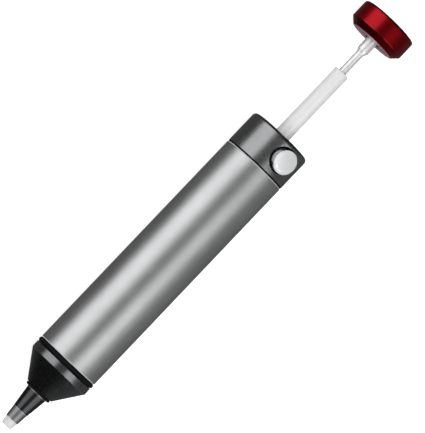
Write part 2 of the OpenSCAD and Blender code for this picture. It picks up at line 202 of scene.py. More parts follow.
class PumpColours(bpy.types.PropertyGroup):
    """Colours of the finishes"""
    tip: tint("Nozzle tip", (0.52, 0.52, 0.51), "White heat-proof plastic")
    ferrule: tint("Ferrule", (0.34, 0.343, 0.347), "Bare turned metal of the ferrule")
    holder: tint("Holder", (0.078, 0.080, 0.082), "Dark plated holder")
    # The bright colour is partly freshly cut metal and partly a painted highlight: it makes the
    # barrel's end chamfers, the button's chamfer and the ferrule's edges show as bright lines.
    bright: tint("Bright edges", (0.78, 0.79, 0.80), "Freshly cut metal on edges and collars")
    nose: tint("Nose cone", (0.235, 0.24, 0.25), "Black anodised nose cone")
    # The nose cone's edge colour is partly metal cut through the anodising and partly a painted
    # highlight along the band's edges.
    nose_edge: tint("Nose cone edges", (0.55, 0.56, 0.58), "Edges of its band, cut through")
    rubber: tint("Rubber", (0.005, 0.005, 0.0055), "Seals, gasket and bumper")
    barrel: tint("Barrel", (0.66, 0.665, 0.67), "Satin anodised barrel")
    cap: tint("End cap", (0.34, 0.343, 0.348), "Gunmetal anodised end cap")
    # Lighter edge colour: partly worn edges, partly a painted highlight along the bevelled edges.
    cap_edge: tint("End cap edges", (0.50, 0.505, 0.51), "Lighter edges of the end cap")
    # The recess colour is painted shade rather than dye: near-black put in the button's recess, on
    # the end cap's front edge at the gasket and in the knob's recess, where shade falls.
    recess: tint("Recess", (0.006, 0.006, 0.006),
                 "Darkest dye, round the button and at the gasket")
    button: tint("Button", (0.62, 0.625, 0.63), "Satin nickel button")
    rod: tint("Rod", (0.60, 0.60, 0.605), "White acetal rod")
    steel: tint("Steel", (0.80, 0.80, 0.81), "Turned steel core, screw and nut")
    knob: tint("Knob", (0.42, 0.006, 0.011), "Red anodised knob")
    # Lighter edge colour: partly worn edges, partly a painted highlight along the bevelled edges.
    knob_edge: tint("Knob edges", (0.60, 0.05, 0.07), "Lighter red along the knob's edges")
    knob_face: tint("Knob underside", (0.62, 0.42, 0.45), "Faintly red turned face")
    piston: tint("Piston", (0.02, 0.02, 0.021), "Moulded black piston")
    brass: tint("Bush", (0.70, 0.52, 0.25), "Bronze rod bush")
    floor: tint("Floor", (0.5, 0.5, 0.5), "Plain pale floor")


class PumpStage(bpy.types.PropertyGroup):
    """Camera, lights and floor"""
    lens: bpy.props.FloatProperty(name="Lens", description="Focal length in millimetres",
                                  default=307.0, min=20, max=500, unit="CAMERA")
    distance: length("Camera distance", 1.290, "From the pump's axis to the camera")
    foot: station("Camera station", -0.0515, "Station on the axis that the camera is square to")
    tilt: turn("Camera tilt", 30.5, "Angle round the pump's axis, from straight above")
    roll: turn("Camera roll", 46.42, "Roll about the line of sight")
    aim_along: station("Aim along", 0.0050, "Station that the camera looks at")
    aim_across: station("Aim across", -0.001925, "How far beside the axis it looks")
    floor_glow: share("Floor glow", 0.84, "Light that the pale floor gives off itself")


SETTINGS = {"pump_nozzle": PumpNozzleSizes, "pump_body": PumpBodySizes,
            "pump_plunger": PumpPlungerSizes, "pump_colours": PumpColours,
            "pump_stage": PumpStage}


# ---------------------------------------------------------------- modelling helpers

def clear_selection():
    """Object mode with nothing selected, so that an operator acts on the new piece only."""
    if bpy.context.object and bpy.context.object.mode != "OBJECT":
        bpy.ops.object.mode_set(mode="OBJECT")
    bpy.ops.object.select_all(action="DESELECT")


def only(piece):
    """Selects one object alone and makes it active."""
    clear_selection()
    piece.select_set(True)
    bpy.context.view_layer.objects.active = piece


def arc(r, x, size, from_a, to_a, steps=8):
    """Points [station, radius] along a rounded corner centred on station x and radius r."""
    angles = [math.radians(from_a + (to_a - from_a) * i / steps) for i in range(steps + 1)]
    return [(x + size * math.sin(a), r + size * math.cos(a)) for a in angles]


def named(piece, node):
    """Names a selected piece after its node, and settles its place into its mesh."""
    piece.name = piece.data.name = "pump_" + node
    bpy.ops.object.transform_apply(location=True, rotation=True, scale=True)
    return piece


def turned(name, outline, sides=SIDES, closed=True, along="X", at=AXIS):
    """A solid turned from [station, radius] points: a circle, extruded and resized from point
    to point. A closed outline meets itself again; an open one is capped at both ends."""
    along_x = along == "X"

    def place(station):
        return (station, at.y, at.z) if along_x else (at.x, at.y, station)

    clear_selection()
    bpy.ops.mesh.primitive_circle_add(vertices=sides, radius=outline[0][1],
                                      location=place(outline[0][0]),
                                      rotation=ALONG_X if along_x else (0, 0, 0))
    piece = named(bpy.context.object, name)
    bpy.ops.object.mode_set(mode="EDIT")
    bpy.ops.mesh.select_all(action="SELECT")
    stops = list(outline) + ([outline[0]] if closed else [])
    for (x0, r0), (x1, r1) in zip(stops, stops[1:]):
        step = (x1 - x0, 0, 0) if along_x else (0, 0, x1 - x0)
        bpy.ops.mesh.extrude_edges_move(TRANSFORM_OT_translate={"value": step})
        k = r1 / r0
        bpy.ops.transform.resize(value=(1, k, k) if along_x else (k, k, 1),
                                 center_override=place(x1))
    close_up(sides)
    return piece


def close_up(sides):
    """In edit mode: merges doubles, fills open rims, faces outwards, and leaves edit mode."""
    bpy.ops.mesh.select_mode(type="VERT")
    bpy.ops.mesh.select_all(action="SELECT")
    bpy.ops.mesh.remove_doubles(threshold=DOUBLES)
    bpy.ops.mesh.fill_holes(sides=sides)
    bpy.ops.mesh.select_all(action="SELECT")
    bpy.ops.mesh.normals_make_consistent(inside=False)
    bpy.ops.object.mode_set(mode="OBJECT")


def apply_modifier(piece, kind, **settings):
    """Adds a modifier to the selected piece, sets it up and applies it."""
    made = piece.modifiers.new("step", kind)
    for key, value in settings.items():
        setattr(made, key, value)
    bpy.ops.object.modifier_apply(modifier=made.name)


def cut(piece, tool):
    """Takes the tool's shape out of a piece and deletes the tool."""
    only(piece)
    apply_modifier(piece, "BOOLEAN", operation="DIFFERENCE", solver="EXACT", object=tool)
    if not piece.data.polygons:
        raise RuntimeError(f"nothing is left of {piece.name} after a cut")
    only(tool)
    bpy.ops.object.delete()
    only(piece)


def join(name, *pieces):
    """Joins pieces into one mesh."""
    clear_selection()
    for piece in pieces:
        piece.select_set(True)
    bpy.context.view_layer.objects.active = pieces[0]
    bpy.ops.object.join()
    return named(pieces[0], name)


def break_edges(piece, width, angle, finish_index):
    """Rounds the edges of a selected piece that are sharper than an angle in degrees, and
    merges the points that two rounded edges share."""
    apply_modifier(piece, "BEVEL", width=width, segments=2, limit_method="ANGLE",
                   angle_limit=math.radians(angle), use_clamp_overlap=True,
                   miter_outer="MITER_ARC", material=finish_index)
    bpy.ops.object.mode_set(mode="EDIT")
    bpy.ops.mesh.select_all(action="SELECT")
    bpy.ops.mesh.remove_doubles(threshold=2 * DOUBLES)
    bpy.ops.object.mode_set(mode="OBJECT")


def off_axis(point):
    """Distance of a point from the pump's axis."""
    return math.hypot(point.y, point.z - AXIS_Z)


def complete(piece, body, slot, *finishes, bevel=0.08 * MM, angle=24, edge=0, zones=()):
    """Finishes a piece that is named after its node: puts on its finishes, breaks its edges
    into the edge finish, gives faces that pass a zone's test(centre, normal) to that zone's
    finish, and ties it to its body and its node. Its slot argument is not used."""
    piece.data.materials.clear()
    for name in finishes:
        piece.data.materials.append(finish(name))
    only(piece)
    if bevel:
        break_edges(piece, bevel, angle, edge)
    for zone, test in zones:
        for face in piece.data.polygons:
            if test(face.center, face.normal):
                face.material_index = zone
    bpy.ops.object.shade_smooth_by_angle(angle=math.radians(35))
    apply_modifier(piece, "WEIGHTED_NORMAL", keep_sharp=True)
    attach(piece, body)
    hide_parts(piece.name.removeprefix("pump_"))
    return piece


def o_ring(node, body):
    """An O-ring at its node's own size and place."""
    low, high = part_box(node)
    cord = (high.x - low.x) / 2
    clear_selection()
    bpy.ops.mesh.primitive_torus_add(
        location=((low.x + high.x) / 2, 0, AXIS_Z), rotation=ALONG_X,
        major_segments=SIDES, minor_segments=CORD_SIDES, major_radius=radius(node) - cord,
        minor_radius=cord)
    ring = named(bpy.context.object, node)
    return complete(ring, body, "rubber_black", "rubber", bevel=0)


def coil(name, mean, wire, turns, height, steps=32):
    """A coil spring on +Z from z = 0, closed at both ends: a ring of wire wound by the screw
    modifier in three stretches that meet."""
    shut = wire + 0.04 * MM
    open_pitch = (height - wire - 2 * shut) / (turns - 2)
    parts, z = [], wire / 2
    for count, pitch in ((1, shut), (turns - 2, open_pitch), (1, shut)):
        clear_selection()
        bpy.ops.mesh.primitive_circle_add(vertices=WIRE_SIDES, radius=wire / 2,
                                          location=(mean, 0, z), rotation=(math.pi / 2, 0, 0))
        part = named(bpy.context.object, "wire")
        apply_modifier(part, "SCREW", axis="Z", angle=2 * math.pi, screw_offset=pitch,
                       iterations=count, steps=steps, render_steps=steps)
        parts.append(part)
        z += count * pitch
    spring = join(name, *parts)
    bpy.ops.object.mode_set(mode="EDIT")
    close_up(WIRE_SIDES)
    return spring


def make_slot(tool, height):
    """Lifts the half of a round tool that is above the axis, so that it cuts a slot."""
    bpy.ops.object.mode_set(mode="EDIT")
    bpy.ops.mesh.select_mode(type="VERT")
    bpy.ops.mesh.select_all(action="DESELECT")
    bpy.ops.object.mode_set(mode="OBJECT")
    for vertex in tool.data.vertices:
        vertex.select = vertex.co.z > AXIS_Z + DOUBLES
    bpy.ops.object.mode_set(mode="EDIT")
    bpy.ops.transform.translate(value=(0, 0, height))
    bpy.ops.object.mode_set(mode="OBJECT")


# ---------------------------------------------------------------- finishes

class Nodes:
    """Adds nodes to a node tree"""

    def __init__(self, tree):
        self.tree = tree

    def put(self, socket, value):
        """Sets a socket to a value, or links it to another node's output."""
        if isinstance(value, bpy.types.NodeSocket):
            self.tree.links.new(value, socket)
        else:
            socket.default_value = value

    def node(self, kind, inputs=(), **settings):
        """A node with its settings, and its inputs set to values or linked to outputs."""
        made = self.tree.nodes.new(kind)
        for key, value in settings.items():
            setattr(made, key, value)
        for key, value in dict(inputs).items():
            self.put(made.inputs[key], value)
        return made

    def spread(self, value, low, high, from_low=0.35, from_high=0.65):
        """A value spread over a new range, from the range that noise mostly keeps to."""
        return self.node("ShaderNodeMapRange", {
            "Value": value, "From Min": from_low, "From Max": from_high, "To Min": low,
            "To Max": high}).outputs["Result"]


class Finish(Nodes):
    """Builds one node material: colour, roughness and bump from layered noise"""

    def __init__(self, name):
        self.material = bpy.data.materials.new(name)
        self.material.use_nodes = True
        super().__init__(self.material.node_tree)
        self.shader = self.tree.nodes["Principled BSDF"].inputs
        self.place = self.tree.nodes.new("ShaderNodeTexCoord").outputs["Object"]

    def noise(self, scale, detail, rough, stretch=(1, 1, 1)):
        """Noise in object coordinates measured from the pump's axis; a stretch of more than 1
        along X squeezes it into rings, and of less than 1 draws it out along the pump."""
        moved = self.node("ShaderNodeMapping", {
            "Vector": self.place, "Scale": stretch,
            "Location": (0, 0, -AXIS_Z * stretch[2])})
        return self.node("ShaderNodeTexNoise", {
            "Vector": moved.outputs["Vector"], "Scale": scale, "Detail": detail,
            "Roughness": rough}).outputs["Fac"]

    def toned(self, value, colour, swing):
        """A colour that a value swings between a share darker and a share lighter. The mix
        node's colour sockets have one name between them, so they go by number."""
        dark, light = (tuple(min(1.0, c * k) for c in colour) for k in (1 - swing, 1 + swing))
        return self.node("ShaderNodeMix", {0: value, 6: (*dark, 1), 7: (*light, 1)},
                         data_type="RGBA").outputs[2]

    def bumped(self, value, strength, distance, after=None):
        """A bump from a value, on top of another bump."""
        made = self.node("ShaderNodeBump", {
            "Height": value, "Strength": strength, "Distance": distance})
        if after is not None:
            self.put(made.inputs["Normal"], after)
        return made.outputs["Normal"]


def surface(name, colour, rough, metallic=1.0, vary=0.05, tone=0.06, grain=900,
            stretch=(1, 1, 1), relief=0.1, coat=0.0, specular=0.5):
    """One finish: tone drifts over the piece, a fine grain sets polish and relief, and scuffs,
    which follow the grain's stretch less, break the polish. Scales are per metre."""
    f = Finish(name)
    drift = f.noise(scale=70, detail=3, rough=0.5)
    fine = f.noise(scale=grain, detail=6, rough=0.65, stretch=stretch)
    scuff = f.noise(scale=260, detail=5, rough=0.7,
                    stretch=tuple(0.6 + 0.4 * k for k in stretch))
    scuffed = f.spread(scuff, 0, 0.08, from_low=0.55, from_high=0.8)
    polish = f.node("ShaderNodeMath", {0: f.spread(fine, rough - vary, rough + vary),
                                       1: scuffed}, operation="ADD")
    f.put(f.shader["Base Color"], f.toned(f.spread(drift, 0, 1), colour, tone))
    f.put(f.shader["Roughness"], polish.outputs[0])
    f.put(f.shader["Normal"], f.bumped(
        fine, strength=relief, distance=0.02 * MM,
        after=f.bumped(scuff, strength=0.1, distance=0.01 * MM)))
    f.put(f.shader["Metallic"], metallic)
    f.put(f.shader["Specular IOR Level"], specular)
    f.put(f.shader["Coat Weight"], coat)
    f.put(f.shader["Coat Roughness"], 0.12)
    return f.material


# Stretch of the grain along the pump
RINGS = (7, 1, 1)  # lathe-turned
TURNED_RED = (4, 1, 1)  # turned, then anodised red
TURNED_GREY = (3, 1, 1)  # turned, then anodised grey
DRAWN = (0.3, 1, 1)  # drawn out along the rod

# Each finish's colour setting, and what sets it apart
FINISHES = {
    "tip_white": ("tip", dict(rough=0.42, metallic=0, tone=0.03, relief=0.2)),
    "ferrule_metal": ("ferrule", dict(rough=0.46, stretch=RINGS, relief=0.2)),
    "holder_plated": ("holder", dict(rough=0.28, stretch=RINGS)),
    # Partly cut metal, partly painted highlight: the bright finishes for chamfers and edges
    "bright_cut": ("bright", dict(rough=0.30, metallic=0.6, stretch=RINGS)),
    "polished_cut": ("bright", dict(rough=0.18, metallic=0.3, stretch=RINGS)),
    "nose_anodised": ("nose", dict(rough=0.26, stretch=RINGS, relief=0.05)),
    # Partly cut metal, partly painted highlight along the band's edges
    "nose_edge": ("nose_edge", dict(rough=0.24, stretch=RINGS)),
    "rubber": ("rubber", dict(rough=0.55, metallic=0, specular=0.07, tone=0.15, relief=0.3)),
    "barrel_satin": ("barrel", dict(rough=0.42, tone=0.035, grain=2600, relief=0.25,
                                    vary=0.06)),
    "cap_anodised": ("cap", dict(rough=0.30, stretch=TURNED_GREY, relief=0.05)),
    # Partly worn edge, partly painted highlight along the bevels
    "cap_edge": ("cap_edge", dict(rough=0.26, stretch=TURNED_GREY)),
    # Painted shade: near-black finish for recesses and the gap at the gasket
    "recess_dark": ("recess", dict(rough=0.6, metallic=0, specular=0.2)),
    "button_nickel": ("button", dict(rough=0.44, metallic=0.4, relief=0.15)),
    "rod_acetal": ("rod", dict(rough=0.30, metallic=0, tone=0.02, stretch=DRAWN,
                               specular=0.8, coat=0.4)),
    "steel_turned": ("steel", dict(rough=0.34, metallic=0.6, stretch=RINGS, relief=0.2)),
    "steel_ground": ("steel", dict(rough=0.26, stretch=RINGS)),
    "spring_wire": ("steel", dict(rough=0.30, tone=0.1)),
    "knob_anodised": ("knob", dict(rough=0.36, stretch=TURNED_RED, coat=0.14, tone=0.08)),
    # Partly worn edge, partly painted highlight along the bevels
    "knob_edge": ("knob_edge", dict(rough=0.26, stretch=TURNED_RED, coat=0.35)),
    "knob_face": ("knob_face", dict(rough=0.42, metallic=0.76, grain=1600, relief=0.3)),
    "piston_moulded": ("piston", dict(rough=0.45, metallic=0, tone=0.1)),
    "bush_bronze": ("brass", dict(rough=0.34, stretch=RINGS)),
}


def finish(name):
    """A finish by name, made once and shared."""
    colour, settings = FINISHES[name]
    return (bpy.data.materials.get(name) or
            surface(name, tuple(getattr(bpy.context.scene.pump_colours, colour)), **settings))


# ---------------------------------------------------------------- pieces

class PumpPiece:
    """What the operators share"""
    bl_options = {"REGISTER", "UNDO"}


class PUMP_OT_nozzle(PumpPiece, bpy.types.Operator):
    """Nozzle tip, ferrule, holder with its bright collar, and the O-ring behind them"""
    bl_idname = "pump.nozzle"
    bl_label = "Nozzle"

    def execute(self, context):
        s = context.scene.pump_nozzle
        x0, x1 = first("nozzle_tip"), last("nozzle_tip")
        ferrule_x, holder_x = first("tip_ferrule"), first("nozzle_holder")
        x2, cone_x = last("nozzle_holder"), first("nose_cone")
        tip = turned("nozzle_tip", [
            (x0, s.tip_bore), *arc(s.tip_end - s.tip_round, x0 + s.tip_round, s.tip_round, -90, 0),
            (ferrule_x, s.tip_root), (ferrule_x, s.shank), (x1, s.shank), (x1, s.tip_bore)])
        complete(tip, "housing", "ptfe_white", "tip_white", bevel=0.06 * MM)

        inner = s.shank + FIT
        ferrule = turned("tip_ferrule", [
            (ferrule_x, inner), (ferrule_x, s.ferrule_front), (holder_x, s.ferrule_back),
            (holder_x, inner)])
        # Partly cut metal, partly painted highlight: the ferrule's broken edges get the bright
        # finish.
        complete(ferrule, "housing", "ferrule_grey", "ferrule_metal", "bright_cut",
                 bevel=0.12 * MM, edge=1)

        collar_x = cone_x - s.collar_length

        def on_collar(centre, normal):
            return (collar_x - TOUCH < centre.x < cone_x and
                    off_axis(centre) > s.holder_back - 5 * TOUCH)

        holder = turned("nozzle_holder", [
            (holder_x, inner), (holder_x, s.holder_front), (collar_x, s.holder_back),
            (collar_x, s.collar), (cone_x, s.collar), (cone_x, s.holder_shank),
            (x2 - s.lead, s.holder_shank), (x2, s.holder_shank - s.lead), (x2, inner)])
        complete(holder, "housing", "holder_dark", "holder_plated", "ferrule_metal",
                 bevel=0.06 * MM, zones=[(1, on_collar)])
        o_ring("nozzle_o_ring", "housing")
        return {"FINISHED"}


class PUMP_OT_nose(PumpPiece, bpy.types.Operator):
    """Nose cone with its band, groove, spigot and funnel, and the O-ring in the groove"""
    bl_idname = "pump.nose"
    bl_label = "Nose cone"

    def execute(self, context):
        s, nozzle = context.scene.pump_body, context.scene.pump_nozzle
        x0, x_end = first("nose_cone"), last("nose_cone")
        band_x = x0 + s.cone_length
        groove_x = band_x + s.band_length
        barrel_x, shank_x = first("barrel"), last("nozzle_holder")
        hole = nozzle.holder_shank + FIT
        ring_low, ring_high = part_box("nose_o_ring")
        groove = radius("nose_o_ring") - (ring_high.x - ring_low.x) - SEAT
        edge = s.band_edge

        # Partly metal cut through the anodising, partly painted highlight: the band's edge
        # chamfers get the lighter edge finish.
        def on_band_edge(centre, normal):
            return (off_axis(centre) > s.barrel - edge and abs(normal.x) > STEEP and
                    band_x - 3 * TOUCH < centre.x < groove_x + 3 * TOUCH)

        cone = turned("nose_cone", [
            (x0, hole), (x0, s.cone_front), (band_x, s.barrel - edge), (band_x + edge, s.barrel),
            (groove_x - edge, s.barrel), (groove_x, s.barrel - edge), (groove_x, groove),
            (barrel_x, groove), (barrel_x, s.spigot), (x_end - s.lead, s.spigot),
            (x_end, s.spigot - s.lead), (x_end, s.funnel), (x_end - s.funnel_mouth, s.funnel),
            (shank_x, s.throat), (shank_x, hole)])
        complete(cone, "housing", "nose_black", "nose_anodised", "nose_edge", bevel=0.05 * MM,
                 zones=[(1, on_band_edge)])
        o_ring("nose_o_ring", "housing")
        return {"FINISHED"}


class PUMP_OT_barrel(PumpPiece, bpy.types.Operator):
    """Barrel tube with bright chamfered ends, and the gasket at its rear"""
    bl_idname = "pump.barrel"
    bl_label = "Barrel"

    def execute(self, context):
        s = context.scene.pump_body
        x0, x1 = first("barrel"), last("barrel")
        edge = s.barrel_edge

        # Partly real cut metal, partly painted highlight: the chamfers at the barrel's ends get
        # the bright polished finish.
        def on_chamfer(centre, normal):
            return off_axis(centre) > s.barrel - edge and abs(normal.x) > STEEP

        tube = turned("barrel", [
            (x0, s.bore), (x0, s.barrel - edge), (x0 + edge, s.barrel), (x1 - edge, s.barrel),
            (x1, s.barrel - edge), (x1, s.bore)], FINE_SIDES)
        complete(tube, "housing", "barrel_aluminium", "barrel_satin", "polished_cut",
                 bevel=0.04 * MM, zones=[(1, on_chamfer)])
        x0, x1, r = first("cap_gasket"), last("cap_gasket"), radius("cap_gasket")
        gasket = turned("cap_gasket", [(x0, s.bore), (x0, r), (x1, r), (x1, s.bore)])
        complete(gasket, "housing", "rubber_black", "rubber")
        return {"FINISHED"}


class PUMP_OT_end_cap(PumpPiece, bpy.types.Operator):
    """End cap with its rounded rear edge, rod hole, button bore and recess, and its bush"""
    bl_idname = "pump.end_cap"
    bl_label = "End cap"

    def execute(self, context):
        s, p = context.scene.pump_body, context.scene.pump_plunger
        x0, x1 = first("end_cap"), last("end_cap")
        shown_x = x1 - s.cap_length
        bush_x, bush = last("rod_bush"), radius("rod_bush")
        hole = bush + FIT
        cap = turned("end_cap", [
            (x0, hole), (x0, s.spigot), (shown_x, s.spigot), (shown_x, s.barrel - s.cap_edge),
            (shown_x + s.cap_edge, s.barrel),
            *arc(s.barrel - s.cap_round, x1 - s.cap_round, s.cap_round, 0, 90, 10),
            (x1, s.rod_hole), (bush_x, s.rod_hole), (bush_x, hole)], FINE_SIDES)
        bore_z, above_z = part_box("button_spring")[0].z - SEAT, AXIS_Z + 2.4 * s.barrel
        for r, z in ((p.button + FIT, bore_z), (s.recess, AXIS_Z + s.recess_floor)):
            cut(cap, turned("tool", [(z, r), (above_z, r)], SMALL_SIDES, closed=False,
                            along="Z", at=BUTTON_AXIS))
        edge_width = 0.12 * MM

        # Painted shade: faces in the button's recess and on the cap's front edge at the gasket get
        # the near-black recess finish, standing in for the shade there.
        def in_recess(centre, normal):
            return (math.hypot(centre.x - BUTTON_X, centre.y) < s.recess + TOUCH and
                    centre.z > AXIS_Z and off_axis(centre) < s.barrel - edge_width)

        def at_gasket(centre, normal):
            return (centre.x < shown_x + s.cap_edge + 2 * TOUCH and
                    off_axis(centre) > s.spigot)

        # The bevelled edges get the lighter edge finish: partly wear, partly painted highlight.
        complete(cap, "housing", "cap_gunmetal", "cap_anodised", "cap_edge", "recess_dark",
                 bevel=edge_width, angle=28, edge=1, zones=[(2, in_recess), (2, at_gasket)])
        x0, clear = first("rod_bush"), p.rod + FIT
        guide = turned("rod_bush", [(x0, clear), (x0, bush), (bush_x, bush), (bush_x, clear)])
        complete(guide, "housing", "bush_brass", "bush_bronze", bevel=0.15 * MM)
        return {"FINISHED"}


class PUMP_OT_button(PumpPiece, bpy.types.Operator):
    """Release button, a chamfered pin across the end cap with a slotted hole, and its spring"""
    bl_idname = "pump.button"
    bl_label = "Release button"

    def execute(self, context):
        p = context.scene.pump_plunger
        low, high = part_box("release_button")
        top, bottom = high.z, low.z
        spring_low, spring_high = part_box("button_spring")
        tall = spring_high.z - spring_low.z
        spring_r = (spring_high.y - spring_low.y) / 2
        pocket, pocket_top = spring_r + 0.15 * MM, spring_high.z + SEAT
        r, chamfer_z = p.button, top - p.button_edge_height
        button = turned("release_button", [
            (pocket_top, 2 * HUB), (pocket_top, pocket), (bottom, pocket), (bottom, r),
            (chamfer_z, r), (top, r - p.button_edge), (top, 3 * HUB)],
            SMALL_SIDES, closed=False, along="Z", at=BUTTON_AXIS)
        hole = p.rod + FIT
        slot = turned("tool", [(BUTTON_X - 3 * r, hole), (BUTTON_X + 3 * r, hole)],
                      HOLE_SIDES, closed=False)
        make_slot(slot, p.button_travel)
        cut(button, slot)

        # Partly real polished metal, partly painted highlight: the chamfer round the button's face
        # gets the bright polished finish.
        def on_chamfer(centre, normal):
            return chamfer_z < centre.z < top and 0.3 < normal.z < 0.98

        def on_side(centre, normal):
            return centre.z < chamfer_z

        complete(button, "button", "button_bright", "button_nickel", "polished_cut",
                 "steel_ground", angle=30, zones=[(1, on_chamfer), (2, on_side)])
        wire, turns = 0.45 * MM, 5
        spring = coil("button_spring", spring_r - wire / 2, wire, turns, tall)
        spring.location = (BUTTON_X, 0, spring_low.z)
        named(spring, "button_spring")
        complete(spring, "housing", "spring_steel", "spring_wire", bevel=0)
        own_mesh(spring)
        return {"FINISHED"}


class PUMP_OT_plunger(PumpPiece, bpy.types.Operator):
    """White rod, steel core with its neck, taper and collar, lock nut, washers and pin"""
    bl_idname = "pump.plunger"
    bl_label = "Rod and core"

    def execute(self, context):
        p = context.scene.pump_plunger
        x0, x1 = first("plunger_rod"), last("plunger_rod")
        inner, edge = p.neck + SEAT, p.rod_edge
        rod = turned("plunger_rod", [
            (x0, inner), (x0, p.rod - edge), (x0 + edge, p.rod), (x1 - edge, p.rod),
            (x1, p.rod - edge), (x1, inner)], SMALL_SIDES)
        complete(rod, "plunger", "rod_white", "rod_acetal", bevel=0.05 * MM)

        x0, x1 = first("plunger_core"), last("plunger_core")
        collar_x = first("knob") - p.collar_length
        pin_r, point = radius("cleaning_pin"), 0.3 * MM
        pin_hole, pin_depth = pin_r + SEAT, 4 * MM
        tap, tap_x = 1.55 * MM, first("knob_screw") - 0.5 * MM
        core = turned("plunger_core", [
            (x0 + pin_depth, HUB), (x0 + pin_depth, pin_hole), (x0, pin_hole),
            (x0, p.neck - point), (x0 + point, p.neck), (collar_x - p.taper, p.neck),
            (collar_x, p.collar), (x1, p.collar), (x1, tap), (tap_x, tap), (tap_x, HUB)],
            SMALL_SIDES, closed=False)
        complete(core, "plunger", "steel_bright", "steel_turned", bevel=0.05 * MM)

        x0, x1 = first("cleaning_pin"), last("cleaning_pin")
        pin = turned("cleaning_pin", [
            (x0, HUB), (x0, pin_r - point), (x0 + point, pin_r), (x1, pin_r), (x1, HUB)],
            PIN_SIDES, closed=False)
        complete(pin, "plunger", "steel_bright", "steel_ground", bevel=0.06 * MM)

        x0, x1, r = first("piston_washers"), last("piston_washers"), radius("piston_washers")
        thick, hole = 0.5 * MM, p.neck + FIT
        washers = join("piston_washers", *(
            turned("washer", [(x, hole), (x, r), (x + thick, r), (x + thick, hole)], SMALL_SIDES)
            for x in (x0, x1 - thick)))
        complete(washers, "plunger", "steel_bright", "steel_ground", bevel=0.07 * MM)

        x0, x1 = first("rod_nut"), last("rod_nut")
        low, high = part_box("rod_nut")
        corner_r = max(high.y - low.y, high.z - low.z) / 2
        clear_selection()
        bpy.ops.mesh.primitive_cylinder_add(vertices=6, radius=corner_r, depth=x1 - x0,
                                            location=((x0 + x1) / 2, 0, AXIS_Z),
                                            rotation=ALONG_X)
        nut = named(bpy.context.object, "rod_nut")
        cut(nut, turned("tool", [(x0 - MM, hole), (x1 + MM, hole)], HOLE_SIDES, closed=False))
        complete(nut, "plunger", "steel_bright", "steel_ground", bevel=0.12 * MM)
        return {"FINISHED"}


class PUMP_OT_piston(PumpPiece, bpy.types.Operator):
    """Piston with its seals, the main spring, and the bumper that it stops at"""
    bl_idname = "pump.piston"
    bl_label = "Piston"

    def execute(self, context):
        s, p = context.scene.pump_body, context.scene.pump_plunger
        x0, x1 = first("piston"), last("piston")
        r, boss = radius("piston"), s.piston_boss
        shoulder = x1 - s.piston_length
        web_front, web_rear = x0 + s.nut_pocket, x1 - s.rod_socket
        core, pocket, socket = p.neck + FIT, 3.98 * MM, p.rod + FIT
        grooves = []
        for seal in ("piston_seal_front", "piston_seal_rear"):
            low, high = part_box(seal)
            floor = radius(seal) - (high.x - low.x) - SEAT
            front, back = low.x - SEAT, high.x + SEAT
            grooves += [(front, r), (front, floor), (back, floor), (back, r)]
        piston = turned("piston", [
            (web_front, core), (web_front, pocket), (x0, pocket), (x0, boss - s.lead),
            (x0 + s.lead, boss), (shoulder, boss), (shoulder, r), *grooves, (x1, r),
            (x1, socket), (web_rear, socket), (web_rear, core)])
        complete(piston, "piston", "piston_black", "piston_moulded", bevel=0.12 * MM)
        o_ring("piston_seal_front", "piston")
        o_ring("piston_seal_rear", "piston")

        x0, x1, r = first("rear_bumper"), last("rear_bumper"), radius("rear_bumper")
        hole = s.rod_hole
        bumper = turned("rear_bumper", [(x0, hole), (x0, r), (x1, r), (x1, hole)])
        complete(bumper, "housing", "rubber_black", "rubber", bevel=0.3 * MM)

        x0, x1 = first("main_spring"), last("main_spring")
        wire, turns = 1.1 * MM, 12
        spring = coil("main_spring", radius("main_spring") - wire / 2, wire, turns, x1 - x0,
                      steps=40)
        spring.location = (x0, 0, AXIS_Z)
        spring.rotation_euler = ALONG_X
        named(spring, "main_spring")
        complete(spring, "housing", "spring_steel", "spring_wire", bevel=0)
        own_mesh(spring)
        return {"FINISHED"}


